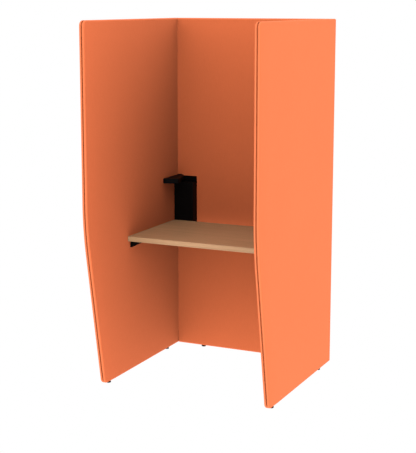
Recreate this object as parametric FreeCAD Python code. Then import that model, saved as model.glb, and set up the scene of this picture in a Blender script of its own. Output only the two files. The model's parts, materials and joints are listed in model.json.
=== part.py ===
import FreeCAD, Part
import math
import os

Vector = FreeCAD.Vector

# Overall sizes of the booth, in millimetres
booth_width = 914.0
booth_depth = 984.0
booth_height = 1798.0
floor_gap = 8.0
panel_thickness = 33.0

# Front edge of the side panels: upright above, leaning back below a soft bend
lean_angle = math.radians(10.4)
bend_height = 809.0
bend_radius = 1400.0
top_corner_radius = 25.0
bottom_corner_radius = 25.0

# Build-up of a panel: two skins with turned edges over a frame with an infill
groove_width = 5.0
groove_depth = 9.0
skin_thickness = 5.0
skin_edge_radius = 8.0
groove_edge_radius = 2.5
frame_clearance = 0.2
infill_clearance = 0.4
rail_width = 45.0
desk_rail_height = 60.0
desk_rail_drop = 5.0

# Desk
desk_top_height = 714.0
desk_thickness = 25.0
desk_setback = 384.0
desk_rear_gap = 52.0
desk_side_gap = 1.0
edge_band_thickness = 2.0
edge_band_radius = 0.8

# Brackets under the desk
bracket_setback = 25.0
bracket_rear_setback = 90.0
bracket_width = 62.0
bracket_drop = 34.5
bracket_toe = 10.0
bracket_tip_height = 8.0
bracket_plate = 3.0
bracket_end_margin = 45.0

# Fasteners and their holes
bolt_clearance = 0.4
thread_clearance = 0.05
head_clearance = 0.5
corner_bolt_diameter = 8.0
corner_bolt_head_diameter = 13.0
corner_bolt_head_height = 5.0
corner_bolt_grip = 32.0
corner_bolt_margin = 180.0
bracket_bolt_diameter = 6.0
bracket_bolt_head_diameter = 12.0
bracket_bolt_head_height = 3.5
bracket_bolt_grip = 14.0
bracket_bolt_count = 3
desk_screw_diameter = 4.0
desk_screw_head_diameter = 8.5
desk_screw_head_height = 2.5
desk_screw_grip = 15.0
desk_screw_count = 3

# Levelling feet
foot_base_diameter = 24.0
foot_base_height = 6.0
foot_hex_width = 13.0
foot_hex_height = 1.2
foot_stem_diameter = 8.0
foot_stem_length = 36.0
foot_running_gap = 0.3
foot_hole_clearance = 1.0
insert_diameter = 14.0
insert_length = 30.0
insert_fit = 0.05
foot_front_setback = 51.0
foot_rear_setback = 146.0
back_foot_offset = 276.0

# Riser tower behind the desk: a cover on a back plate that stands up behind it
tower_width = 113.0
tower_side_gap = 2.0
tower_desk_gap = 2.0
tower_below_desk_top = 56.0
tower_height = 210.0
tower_wall = 2.0
tower_edge_radius = 5.0
plate_thickness = 3.0
plate_flange = 14.0
plate_clearance = 0.2
plate_end_gap = 2.0
upstand_height = 29.0
upstand_corner_radius = 4.0
tower_screw_diameter = 4.0
tower_screw_head_diameter = 8.0
tower_screw_head_height = 2.5
tower_screw_grip = 16.0
tower_screw_margin = 16.0
driver_width = 66.0
driver_depth = 26.0
driver_height = 110.0
driver_edge_radius = 3.0
driver_end_gap = 46.0

# Pivot of the lamp head on the tower's top
hub_radius = 22.0
hub_side_gap = 4.0
hub_back_gap = 2.0
pedestal_diameter = 40.0
pedestal_height = 8.3
pivot_washer_diameter = 36.0
pivot_washer_thickness = 0.5
pivot_slack = 0.1
pivot_diameter = 10.0
pivot_bore = 5.0
pivot_running_gap = 0.05
pivot_press_gap = 0.02
pivot_head_diameter = 18.0
pivot_head_height = 5.0
pivot_end_rise = 1.2
nut_width = 16.0
nut_height = 5.0
nut_gap = 0.3
post_diameter = 28.0
post_height = 15.5

# Lamp head: a flat shell whose left side lies along the side panel
head_left_reach = 166.0
head_right_reach = 135.0
head_right_offset = 61.0
head_height = 26.0
head_lower_height = 13.0
head_corner_radius = 10.0
head_edge_radius = 6.0
head_under_radius = 2.0
head_wall = 2.5
head_groove = 2.0
head_groove_depth = 1.6
head_overlap = 3.0
shell_clearance = 0.15
head_floor = 3.0
hub_cap_diameter = 30.0
hub_cap_ledge = 4.0
hub_cap_seat = 1.5
hub_cap_thickness = 4.5
hub_cap_radius = 2.6
diffuser_inset = 13.0
diffuser_hub_gap = 46.0
board_inset = 4.5
board_hub_gap = 50.0
board_thickness = 1.6
boss_diameter = 7.0
boss_inset = 9.0
boss_hub_gap = 36.0
lamp_screw_diameter = 2.5
lamp_screw_head_diameter = 5.0
lamp_screw_head_height = 2.0
lamp_screw_grip = 12.0

# Heights and planes that follow from the sizes above
half_width = booth_width / 2
half_depth = booth_depth / 2
inner_half_width = half_width - panel_thickness
inner_back = half_depth - panel_thickness
skin_depth = (panel_thickness - groove_width) / 2
frame_thickness = panel_thickness - 2 * skin_thickness
frame_inset = groove_depth + frame_clearance
side_middle = half_width - panel_thickness / 2
back_middle = half_depth - panel_thickness / 2
desk_underside = desk_top_height - desk_thickness
desk_front = -half_depth + desk_setback
desk_rear = inner_back - desk_rear_gap
desk_rail_top = desk_underside + desk_rail_drop
desk_rail_bottom = desk_rail_top - desk_rail_height
side_bottom_front = -half_depth + (bend_height - floor_gap) * math.tan(lean_angle)
tower_left = -inner_half_width + tower_side_gap
tower_right = tower_left + tower_width
tower_front = desk_rear + tower_desk_gap
tower_bottom = desk_top_height - tower_below_desk_top
tower_top = desk_top_height + tower_height
plate_front = inner_back - plate_thickness
upstand_top = tower_top + upstand_height
hub_x = -inner_half_width + hub_side_gap + hub_radius
hub_y = plate_front - hub_back_gap - hub_radius
pedestal_top = tower_top + pedestal_height
head_bottom = pedestal_top + pivot_washer_thickness + 2 * pivot_slack
head_top = head_bottom + head_height
lower_top = head_bottom + head_lower_height
upper_bottom = lower_top + head_groove
roof_underside = head_top - head_wall
post_top = head_bottom + post_height


# Helpers

def box(x0, x1, y0, y1, z0, z1):
    """Block between two corners."""
    return Part.makeBox(x1 - x0, y1 - y0, z1 - z0, Vector(x0, y0, z0))


def rod(x, y, z, direction, diameter, length):
    """Cylinder that starts at a point and runs along a direction."""
    return Part.makeCylinder(diameter / 2, length, Vector(x, y, z), direction)


def headed_fastener(x, y, z, direction, diameter, grip, head_diameter, head_height):
    """Bolt or screw whose head sits at the point, with the shank running along the direction."""
    back = Vector(x, y, z) - direction * head_height
    head = rod(back.x, back.y, back.z, direction, head_diameter, head_height)
    return head.fuse(rod(x, y, z, direction, diameter, grip)).removeSplitter()


def hexagon(x, y, z, across_corners, height):
    """Upright six-sided block on a centre."""
    points = [Vector(x + across_corners / 2 * math.cos(math.pi / 3 * i),
                     y + across_corners / 2 * math.sin(math.pi / 3 * i), z) for i in range(7)]
    return Part.Face(Part.makePolygon(points)).extrude(Vector(0, 0, height))


def on_yz(x):
    """Map of outline coordinates to the upright plane at a given x."""
    return lambda u, v: Vector(x, u, v)


def on_xz(y):
    """Map of outline coordinates to the upright plane at a given y."""
    return lambda u, v: Vector(u, y, v)


def on_xy(z):
    """Map of outline coordinates to the level plane at a given z."""
    return lambda u, v: Vector(u, v, z)


def inset_corners(corners, inset):
    """Corners of a counter-clockwise convex outline after all sides move inwards."""
    count = len(corners)
    lines = []
    for i in range(count):
        ax, ay = corners[i]
        bx, by = corners[(i + 1) % count]
        length = math.hypot(bx - ax, by - ay)
        dx, dy = (bx - ax) / length, (by - ay) / length
        lines.append((ax - dy * inset, ay + dx * inset, dx, dy))
    moved = []
    for i in range(count):
        px, py, pdx, pdy = lines[i - 1]
        qx, qy, qdx, qdy = lines[i]
        along = ((qx - px) * qdy - (qy - py) * qdx) / (pdx * qdy - pdy * qdx)
        moved.append((px + pdx * along, py + pdy * along))
    return moved


def outline_face(corners, radii, inset, place):
    """Flat face of an inset outline, with each corner rounded by its radius less the inset."""
    moved = inset_corners(corners, inset)
    count = len(moved)
    stops = []
    for i in range(count):
        vx, vy = moved[i]
        px, py = moved[i - 1]
        nx, ny = moved[(i + 1) % count]
        back = math.hypot(px - vx, py - vy)
        ahead = math.hypot(nx - vx, ny - vy)
        bx, by = (px - vx) / back, (py - vy) / back
        fx, fy = (nx - vx) / ahead, (ny - vy) / ahead
        radius = radii[i] - inset
        if radius <= 0:
            stops.append(((vx, vy), None, (vx, vy)))
            continue
        half_turn = (math.pi - math.acos(bx * fx + by * fy)) / 2
        reach = radius * math.tan(half_turn)
        middle = radius / math.cos(half_turn) - radius
        mx, my = bx + fx, by + fy
        size = math.hypot(mx, my)
        stops.append((
            (vx + bx * reach, vy + by * reach),
            (vx + mx / size * middle, vy + my / size * middle),
            (vx + fx * reach, vy + fy * reach)))
    edges = []
    for i in range(count):
        start, middle, end = stops[i]
        if middle is not None:
            edges.append(Part.Arc(place(*start), place(*middle), place(*end)).toShape())
        following = stops[(i + 1) % count][0]
        if math.dist(end, following) > 1e-6:
            edges.append(Part.makeLine(place(*end), place(*following)))
    return Part.Face(Part.Wire(edges))


def edges_on_plane(shape, axis, value):
    """Edges whose points all lie on the plane where one coordinate has a given value."""
    found = []
    for edge in shape.Edges:
        points = [vertex.Point for vertex in edge.Vertexes]
        if all(abs(point[axis] - value) < 1e-4 for point in points):
            found.append(edge)
    return found


def upright_edges(shape, x, y):
    """Straight upright edges at one place in plan."""
    found = []
    for edge in shape.Edges:
        points = [vertex.Point for vertex in edge.Vertexes]
        if all(abs(point.x - x) < 1e-4 and abs(point.y - y) < 1e-4 for point in points):
            found.append(edge)
    return found


def cut_all(shape, tools):
    """Shape with all tools taken away."""
    if not tools:
        return shape
    return shape.cut(Part.makeCompound(tools))


def evenly(start, end, count):
    """Positions from start to end with equal steps."""
    return [start + (end - start) * i / (count - 1) for i in range(count)]


# Outlines

side_corners = [
    (side_bottom_front, floor_gap),
    (half_depth, floor_gap),
    (half_depth, booth_height),
    (-half_depth, booth_height),
    (-half_depth, bend_height)]
side_radii = [bottom_corner_radius, 0.0, 0.0, top_corner_radius, bend_radius]

back_corners = [
    (-inner_half_width, floor_gap),
    (inner_half_width, floor_gap),
    (inner_half_width, booth_height),
    (-inner_half_width, booth_height)]
back_radii = [0.0, 0.0, 0.0, 0.0]


def head_outline():
    """Corners of the lamp head: its right side runs from the front corner to touch the hub's circle."""
    left = hub_x - hub_radius
    rear = hub_y + hub_radius
    corner = (hub_x + head_right_offset, hub_y - head_right_reach)
    to_hub = math.atan2(head_right_reach, -head_right_offset)
    away = math.asin(hub_radius / math.hypot(head_right_reach, head_right_offset))
    direction = to_hub - away
    run = (rear - corner[1]) / math.sin(direction)
    right_rear = (corner[0] + run * math.cos(direction), rear)
    return [(left, hub_y - head_left_reach), corner, right_rear, (left, rear)]


head_corners = head_outline()
head_radii = [head_corner_radius, head_corner_radius, hub_radius, hub_radius]


# Places of feet and fasteners

side_feet = [side_bottom_front + foot_front_setback, half_depth - foot_rear_setback]
foot_places = {
    "left_front": (-side_middle, side_feet[0]),
    "left_rear": (-side_middle, side_feet[1]),
    "right_front": (side_middle, side_feet[0]),
    "right_rear": (side_middle, side_feet[1]),
    "back_left": (-back_foot_offset, back_middle),
    "back_right": (back_foot_offset, back_middle)}

corner_bolt_heights = evenly(floor_gap + corner_bolt_margin, booth_height - corner_bolt_margin, 3)
bracket_front = desk_front + bracket_setback
bracket_rear = desk_rear - bracket_rear_setback
bracket_bolt_y = evenly(bracket_front + bracket_end_margin, bracket_rear - bracket_end_margin,
                        bracket_bolt_count)
bracket_bolt_z = desk_underside - bracket_drop / 2 - bracket_plate / 2
desk_screw_y = evenly(bracket_front + 2 * bracket_end_margin, bracket_rear - 2 * bracket_end_margin,
                      desk_screw_count)
desk_screw_x = inner_half_width - bracket_width / 2

stile_middle = -inner_half_width + frame_inset + rail_width / 2
tower_screw_places = [
    (tower_left + 2 * tower_screw_margin, desk_rail_bottom + 2 * tower_screw_margin),
    (tower_right - 2 * tower_screw_margin, desk_rail_bottom + 2 * tower_screw_margin),
    (stile_middle, tower_top - 5 * tower_screw_margin),
    (stile_middle, tower_top - 2.5 * tower_screw_margin)]


# Holes that pass through the panels

def foot_holes(names):
    """Holes in the bottom edges of the skins for the foot stems and inserts."""
    width = foot_stem_diameter + 2 * foot_hole_clearance
    return [rod(*foot_places[name], 0, Vector(0, 0, 1), width, floor_gap + frame_inset + 1)
            for name in names]


def insert_holes(names):
    """Blind holes in a frame's bottom rail for the inserts."""
    width = insert_diameter + 2 * insert_fit
    return [rod(*foot_places[name], 0, Vector(0, 0, 1), width, floor_gap + frame_inset + insert_length)
            for name in names]


def corner_bolt_shape(side, height, extra):
    """One corner bolt, or with extra room its hole; the head sits in the side frame."""
    seat = side * (half_width - skin_thickness - corner_bolt_head_height - head_clearance)
    inwards = Vector(-side, 0, 0)
    across = abs(seat) - inner_half_width + groove_depth + corner_bolt_grip
    return headed_fastener(seat, back_middle, height, inwards, corner_bolt_diameter + 2 * extra,
                           across + extra, corner_bolt_head_diameter + 2 * extra,
                           corner_bolt_head_height + (head_clearance if extra else 0))


def corner_bolt_holes(side):
    """Holes for the corner bolts of one side."""
    return [corner_bolt_shape(side, height, thread_clearance) for height in corner_bolt_heights]


def bracket_bolt_shape(side, y, extra):
    """One bolt that holds a desk bracket to the side panel, or with extra room its hole."""
    seat = side * (inner_half_width - bracket_plate)
    outwards = Vector(side, 0, 0)
    return headed_fastener(seat, y, bracket_bolt_z, outwards, bracket_bolt_diameter + 2 * extra,
                           bracket_plate + skin_thickness + bracket_bolt_grip + extra,
                           bracket_bolt_head_diameter, bracket_bolt_head_height)


def bracket_bolt_holes(side, extra):
    """Holes for the bracket bolts of one side."""
    return [bracket_bolt_shape(side, y, extra) for y in bracket_bolt_y]


def tower_screw_shape(place, extra):
    """One screw that holds the tower's back plate to the back panel, or with extra room its hole."""
    return headed_fastener(place[0], plate_front, place[1], Vector(0, 1, 0),
                           tower_screw_diameter + 2 * extra,
                           plate_thickness + skin_thickness + tower_screw_grip - skin_thickness / 2 + extra,
                           tower_screw_head_diameter, tower_screw_head_height)


def tower_screw_holes(extra):
    """Holes for the screws of the tower's back plate."""
    return [tower_screw_shape(place, extra) for place in tower_screw_places]


# Panel pieces

def rounded(shape, edges, radius):
    """Shape with the given edges rounded."""
    return shape.makeFillet(radius, edges)


def side_skin(side, outer):
    """Skin of a side panel: a flat face with edges turned over the frame."""
    face_x = side * (half_width if outer else inner_half_width)
    inwards = -side if outer else side
    body = outline_face(side_corners, side_radii, 0, on_yz(face_x)).extrude(
        Vector(inwards * skin_depth, 0, 0))
    body = rounded(body, edges_on_plane(body, 0, face_x), skin_edge_radius)
    rim_x = face_x + inwards * skin_depth
    body = rounded(body, edges_on_plane(body, 0, rim_x), groove_edge_radius)
    hollow = outline_face(side_corners, side_radii, groove_depth, on_yz(face_x + inwards * skin_thickness))
    return body.cut(hollow.extrude(Vector(inwards * skin_depth, 0, 0)))


def back_skin(outer):
    """Skin of the back panel, square at the ends that meet the side panels."""
    face_y = half_depth if outer else inner_back
    inwards = -1 if outer else 1
    body = outline_face(back_corners, back_radii, 0, on_xz(face_y)).extrude(
        Vector(0, inwards * skin_depth, 0))
    for plane_y, radius in ((face_y, skin_edge_radius), (face_y + inwards * skin_depth, groove_edge_radius)):
        level = [edge for edge in edges_on_plane(body, 1, plane_y)
                 if abs(edge.Vertexes[0].Point.z - edge.Vertexes[1].Point.z) < 1e-4]
        body = rounded(body, level, radius)
    hollow = outline_face(back_corners, back_radii, groove_depth, on_xz(face_y + inwards * skin_thickness))
    return body.cut(hollow.extrude(Vector(0, inwards * skin_depth, 0)))


def frame_and_infill(corners, radii, place, through, rail):
    """Frame with a cross rail at desk height, and the infill that fills its two windows."""
    outside = outline_face(corners, radii, frame_inset, place).extrude(through)
    window = outline_face(corners, radii, frame_inset + rail_width, place).extrude(through)
    frame = outside.cut(window.cut(rail))
    filling = outline_face(corners, radii, frame_inset + rail_width + infill_clearance, place)
    wide_rail = rail.makeOffsetShape(infill_clearance, 1e-4, join=2)
    return frame, filling.extrude(through).cut(wide_rail)


def side_panel(side, feet):
    """The four pieces of one side panel."""
    through = Vector(side * frame_thickness, 0, 0)
    start_x = side * (inner_half_width + skin_thickness)
    rail = box(-booth_width, booth_width, -booth_depth, booth_depth, desk_rail_bottom, desk_rail_top)
    frame, infill = frame_and_infill(side_corners, side_radii, on_yz(start_x), through, rail)
    frame = cut_all(frame, insert_holes(feet) + corner_bolt_holes(side)
                    + bracket_bolt_holes(side, thread_clearance))
    inner = cut_all(side_skin(side, False), foot_holes(feet) + corner_bolt_holes(side)
                    + bracket_bolt_holes(side, bolt_clearance))
    outer = cut_all(side_skin(side, True), foot_holes(feet))
    return {"outer_skin": outer, "inner_skin": inner, "frame": frame, "infill": infill}


def back_panel():
    """The four pieces of the back panel."""
    feet = ["back_left", "back_right"]
    through = Vector(0, frame_thickness, 0)
    rail = box(-booth_width, booth_width, -booth_depth, booth_depth, desk_rail_bottom, desk_rail_top)
    place = on_xz(inner_back + skin_thickness)
    frame, infill = frame_and_infill(back_corners, back_radii, place, through, rail)
    bolts = corner_bolt_holes(-1) + corner_bolt_holes(1)
    frame = cut_all(frame, insert_holes(feet) + bolts + tower_screw_holes(thread_clearance))
    inner = cut_all(back_skin(False), foot_holes(feet) + bolts + tower_screw_holes(bolt_clearance))
    outer = cut_all(back_skin(True), foot_holes(feet) + bolts)
    return {"outer_skin": outer, "inner_skin": inner, "frame": frame, "infill": infill}


# Levelling feet

def foot_base(place):
    """Base of a levelling foot: a round pad with six flats for turning it."""
    x, y = place
    pad = rod(x, y, 0, Vector(0, 0, 1), foot_base_diameter, foot_base_height)
    pad = rounded(pad, edges_on_plane(pad, 2, foot_base_height), foot_base_height / 3)
    across_corners = foot_hex_width / math.cos(math.pi / 6)
    flats = hexagon(x, y, foot_base_height, across_corners, foot_hex_height)
    return pad.fuse(flats).removeSplitter().cut(foot_stem(place))


def foot_stem(place):
    """Threaded stem of a levelling foot, held in its base."""
    x, y = place
    start = foot_base_height / 2
    length = foot_base_height / 2 + foot_hex_height + foot_stem_length
    return rod(x, y, start, Vector(0, 0, 1), foot_stem_diameter, length)


def foot_insert(place):
    """Sleeve in the frame that takes the foot's stem."""
    x, y = place
    start = floor_gap + frame_inset
    sleeve = rod(x, y, start, Vector(0, 0, 1), insert_diameter, insert_length)
    return sleeve.cut(rod(x, y, start, Vector(0, 0, 1), foot_stem_diameter + 2 * foot_running_gap,
                          insert_length))


# Desk

def desk_pieces():
    """Board and the bands that cover its four edges."""
    half = inner_half_width - desk_side_gap
    whole = box(-half, half, desk_front, desk_rear, desk_underside, desk_top_height)
    inner_front = desk_front + edge_band_thickness
    inner_rear = desk_rear - edge_band_thickness
    inner_half = half - edge_band_thickness
    board = box(-inner_half, inner_half, inner_front, inner_rear, desk_underside, desk_top_height)
    front = box(-half, half, desk_front, inner_front, desk_underside, desk_top_height)
    front = rounded(front, [edge for edge in edges_on_plane(front, 1, desk_front)
                            if edge.Length > desk_thickness * 2], edge_band_radius)
    rear = box(-half, half, inner_rear, desk_rear, desk_underside, desk_top_height)
    left = box(-half, -inner_half, inner_front, inner_rear, desk_underside, desk_top_height)
    right = box(inner_half, half, inner_front, inner_rear, desk_underside, desk_top_height)
    holes = [desk_screw_shape(side, y, thread_clearance) for side in (-1, 1) for y in desk_screw_y]
    return cut_all(board, holes), Part.makeCompound([front, rear, left, right])


def desk_screw_shape(side, y, extra):
    """One screw from a bracket up into the desk board, or with extra room its hole."""
    return headed_fastener(side * desk_screw_x, y, desk_underside - bracket_plate, Vector(0, 0, 1),
                           desk_screw_diameter + 2 * extra, bracket_plate + desk_screw_grip + extra,
                           desk_screw_head_diameter, desk_screw_head_height)


def desk_bracket(side):
    """Folded steel bracket: a wall flange, a desk flange and a three-cornered cheek at each end."""
    wall = side * inner_half_width
    low = desk_underside - bracket_drop
    wall_flange = box(min(wall, wall - side * bracket_plate), max(wall, wall - side * bracket_plate),
                      bracket_front, bracket_rear, low, desk_underside)
    tip = wall - side * bracket_width
    desk_flange = box(min(wall, tip), max(wall, tip), bracket_front, bracket_rear,
                      desk_underside - bracket_plate, desk_underside)
    toe = wall - side * bracket_toe
    bracket = wall_flange.fuse(desk_flange)
    for y in (bracket_front, bracket_rear - bracket_plate):
        corners = [Vector(wall, y, desk_underside), Vector(wall, y, low), Vector(toe, y, low),
                   Vector(tip, y, desk_underside - bracket_tip_height), Vector(tip, y, desk_underside),
                   Vector(wall, y, desk_underside)]
        bracket = bracket.fuse(Part.Face(Part.makePolygon(corners)).extrude(Vector(0, bracket_plate, 0)))
    holes = bracket_bolt_holes(side, bolt_clearance)
    holes += [desk_screw_shape(side, y, bolt_clearance) for y in desk_screw_y]
    return cut_all(bracket.removeSplitter(), holes)


# Riser tower

def tower_cover():
    """Cover of the tower with a front, two sides and a top, open at the back and below."""
    body = box(tower_left, tower_right, tower_front, inner_back, tower_bottom, tower_top)
    front_edges = upright_edges(body, tower_left, tower_front) + upright_edges(body, tower_right, tower_front)
    body = rounded(body, front_edges, tower_edge_radius)
    left, right, front = tower_left + tower_wall, tower_right - tower_wall, tower_front + tower_wall
    hollow = box(left, right, front, inner_back, tower_bottom, tower_top - tower_wall)
    inner_edges = upright_edges(hollow, left, front) + upright_edges(hollow, right, front)
    hollow = rounded(hollow, inner_edges, tower_edge_radius - tower_wall)
    notch = box(left, right, plate_front - plate_clearance, inner_back, tower_top - tower_wall, tower_top)
    return cut_all(body, [hollow, notch, pivot_hole(tower_bottom, tower_top - tower_bottom, pivot_press_gap)])


def tower_back_plate():
    """Plate on the back panel that carries the cover and stands up behind the lamp's pivot."""
    left = tower_left + tower_wall + plate_clearance
    right = tower_right - tower_wall - plate_clearance
    low = tower_bottom + plate_end_gap
    flange_top = tower_top - tower_wall - plate_end_gap
    plate = box(left, right, plate_front, inner_back, low, tower_top + plate_clearance)
    upstand = box(tower_left, tower_right, plate_front, inner_back, tower_top + plate_clearance, upstand_top)
    top_corners = [edge for edge in edges_on_plane(upstand, 2, upstand_top) if edge.BoundBox.XLength < 1e-4]
    plate = plate.fuse(rounded(upstand, top_corners, upstand_corner_radius))
    for x in (left, right - plate_thickness):
        flange = box(x, x + plate_thickness, plate_front - plate_flange, inner_back, low, flange_top)
        plate = plate.fuse(flange)
    return cut_all(plate.removeSplitter(), tower_screw_holes(bolt_clearance))


def lamp_driver():
    """Power module of the lamp, fixed to the back plate inside the tower."""
    middle = (tower_left + tower_right) / 2
    low = tower_bottom + driver_end_gap
    front = plate_front - driver_depth
    left = middle - driver_width / 2
    module = box(left, left + driver_width, front, plate_front, low, low + driver_height)
    return rounded(module, edges_on_plane(module, 1, front), driver_edge_radius)


# Pivot of the lamp head

def on_hub(low, diameter, height):
    """Upright round piece centred on the pivot."""
    return rod(hub_x, hub_y, low, Vector(0, 0, 1), diameter, height)


def pivot_hole(low, height, gap):
    """Hole for the pivot bolt with a given radial gap."""
    return on_hub(low, pivot_diameter + 2 * gap, height)


def pivot_pedestal():
    """Round seat between the tower's top and the lamp head."""
    seat = on_hub(tower_top, pedestal_diameter, pedestal_height)
    return seat.cut(pivot_hole(tower_top, pedestal_height, pivot_press_gap))


def pivot_washer():
    """Slip washer that the lamp head turns on."""
    low = pedestal_top + pivot_slack
    disc = on_hub(low, pivot_washer_diameter, pivot_washer_thickness)
    return disc.cut(pivot_hole(low, pivot_washer_thickness, pivot_press_gap))


def pivot_bolt():
    """Hollow bolt that the lamp head turns about; the lamp's wires pass through it."""
    seat = tower_top - tower_wall
    end = post_top + nut_gap + nut_height + pivot_end_rise
    bolt = on_hub(seat - pivot_head_height, pivot_head_diameter, pivot_head_height)
    bolt = bolt.fuse(on_hub(seat, pivot_diameter, end - seat)).removeSplitter()
    return bolt.cut(on_hub(seat - pivot_head_height, pivot_bore, end - seat + pivot_head_height))


def pivot_nut():
    """Six-sided nut on the end of the pivot bolt."""
    low = post_top + nut_gap
    across_corners = nut_width / math.cos(math.pi / 6)
    block = hexagon(hub_x, hub_y, low, across_corners, nut_height)
    return block.cut(pivot_hole(low, nut_height, pivot_press_gap))


# Lamp head

def head_block(inset, low, high):
    """Solid of the lamp head's outline between two heights."""
    return outline_face(head_corners, head_radii, inset, on_xy(low)).extrude(Vector(0, 0, high - low))


def before_hub(gap, low, high):
    """Space in front of the hub, used to end the flat pieces of the head before it."""
    return box(-booth_width, booth_width, -booth_depth, hub_y - gap, low, high)


def boss_places():
    """Places of the screws that hold the lamp head's shells together."""
    inset = inset_corners(head_corners, boss_inset)
    return [inset[0], inset[1], (hub_x, hub_y - boss_hub_gap)]


def lamp_screw_shape(place, extra):
    """One screw from under the lamp head up into the top shell, or its hole."""
    seat = head_bottom + lamp_screw_head_height
    return headed_fastener(place[0], place[1], seat, Vector(0, 0, 1), lamp_screw_diameter + 2 * extra,
                           lamp_screw_grip + extra, lamp_screw_head_diameter + 2 * extra,
                           lamp_screw_head_height)


def diffuser_space(inset):
    """Solid that fills the window in the lamp head's floor."""
    floor_top = head_bottom + head_floor
    return head_block(inset, head_bottom, floor_top).common(
        before_hub(diffuser_hub_gap + inset - diffuser_inset, head_bottom, floor_top))


def lamp_bottom_shell():
    """Lower half of the lamp head, with the window for the diffuser and the post on the pivot."""
    shell = head_block(0, head_bottom, lower_top)
    shell = rounded(shell, edges_on_plane(shell, 2, head_bottom), head_under_radius)
    floor_top = head_bottom + head_floor
    shell = shell.fuse(head_block(head_groove_depth, floor_top, upper_bottom + head_overlap))
    shell = shell.cut(head_block(head_groove_depth + head_wall, floor_top, head_top))
    shell = shell.cut(diffuser_space(diffuser_inset))
    shell = shell.fuse(on_hub(head_bottom, post_diameter, post_height)).removeSplitter()
    holes = [lamp_screw_shape(place, bolt_clearance) for place in boss_places()]
    return cut_all(shell, [pivot_hole(head_bottom, post_height, pivot_running_gap)] + holes)


def lamp_top_shell():
    """Upper half of the lamp head, with a round seat for the hub cap."""
    shell = head_block(0, upper_bottom, head_top)
    shell = rounded(shell, edges_on_plane(shell, 2, head_top), head_edge_radius)
    over_rim = head_block(head_groove_depth - shell_clearance, upper_bottom,
                          upper_bottom + head_overlap + shell_clearance)
    hollow = head_block(head_groove_depth + head_wall, upper_bottom, roof_underside)
    shell = cut_all(shell, [over_rim, hollow])
    floor_top = head_bottom + head_floor + board_thickness
    for x, y in boss_places():
        shell = shell.fuse(rod(x, y, floor_top, Vector(0, 0, 1), boss_diameter, roof_underside - floor_top))
    hole = on_hub(roof_underside, hub_cap_diameter - 2 * hub_cap_ledge, head_wall)
    seat = on_hub(head_top - hub_cap_seat, hub_cap_diameter, hub_cap_seat)
    screws = [lamp_screw_shape(place, thread_clearance) for place in boss_places()]
    return cut_all(shell.removeSplitter(), [hole, seat] + screws)


def lamp_hub_cap():
    """Round cap over the pivot's nut, seated in the top shell."""
    low = head_top - hub_cap_seat
    disc = on_hub(low, hub_cap_diameter - 2 * shell_clearance, hub_cap_thickness)
    return rounded(disc, edges_on_plane(disc, 2, low + hub_cap_thickness), hub_cap_radius)


def lamp_led_board():
    """Board with the light-emitting chips, lying on the lamp head's floor."""
    low = head_bottom + head_floor
    high = low + board_thickness
    board = head_block(board_inset, low, high).common(before_hub(board_hub_gap, low, high))
    return cut_all(board, [lamp_screw_shape(place, bolt_clearance) for place in boss_places()])


def lamp_diffuser():
    """Milky plate in the window under the lamp head."""
    return diffuser_space(diffuser_inset + shell_clearance)


# Assembly

def all_pieces():
    """Every piece of the booth by name."""
    pieces = {}
    for name, side in (("left", -1), ("right", 1)):
        for piece, shape in side_panel(side, [name + "_front", name + "_rear"]).items():
            pieces[name + "_" + piece] = shape
        pieces[name + "_desk_bracket"] = desk_bracket(side)
    for piece, shape in back_panel().items():
        pieces["back_" + piece] = shape
    pieces["corner_bolts"] = Part.makeCompound(
        [corner_bolt_shape(side, height, 0) for side in (-1, 1) for height in corner_bolt_heights])
    pieces["bracket_bolts"] = Part.makeCompound(
        [bracket_bolt_shape(side, y, 0) for side in (-1, 1) for y in bracket_bolt_y])
    pieces["desk_screws"] = Part.makeCompound(
        [desk_screw_shape(side, y, 0) for side in (-1, 1) for y in desk_screw_y])
    pieces["desk_board"], pieces["desk_edge_bands"] = desk_pieces()
    for name, place in foot_places.items():
        pieces["foot_" + name + "_base"] = foot_base(place)
        pieces["foot_" + name + "_stem"] = foot_stem(place)
    pieces["foot_inserts"] = Part.makeCompound([foot_insert(place) for place in foot_places.values()])
    pieces["tower_cover"] = tower_cover()
    pieces["tower_back_plate"] = tower_back_plate()
    pieces["tower_screws"] = Part.makeCompound([tower_screw_shape(place, 0) for place in tower_screw_places])
    pieces["lamp_driver"] = lamp_driver()
    pieces["pivot_pedestal"] = pivot_pedestal()
    pieces["pivot_washer"] = pivot_washer()
    pieces["pivot_bolt"] = pivot_bolt()
    pieces["pivot_nut"] = pivot_nut()
    pieces["lamp_bottom_shell"] = lamp_bottom_shell()
    pieces["lamp_top_shell"] = lamp_top_shell()
    pieces["lamp_hub_cap"] = lamp_hub_cap()
    pieces["lamp_led_board"] = lamp_led_board()
    pieces["lamp_diffuser"] = lamp_diffuser()
    pieces["lamp_screws"] = Part.makeCompound([lamp_screw_shape(place, 0) for place in boss_places()])
    return pieces


os.makedirs("parts", exist_ok=True)
for node, piece_shape in all_pieces().items():
    piece_shape.exportStep("parts/" + node + ".step")
    print(node, len(piece_shape.Solids), piece_shape.isValid(), round(piece_shape.Volume))
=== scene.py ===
import bpy
import bmesh
import json
import math
from collections import namedtuple
from mathutils import Matrix, Vector


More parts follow.
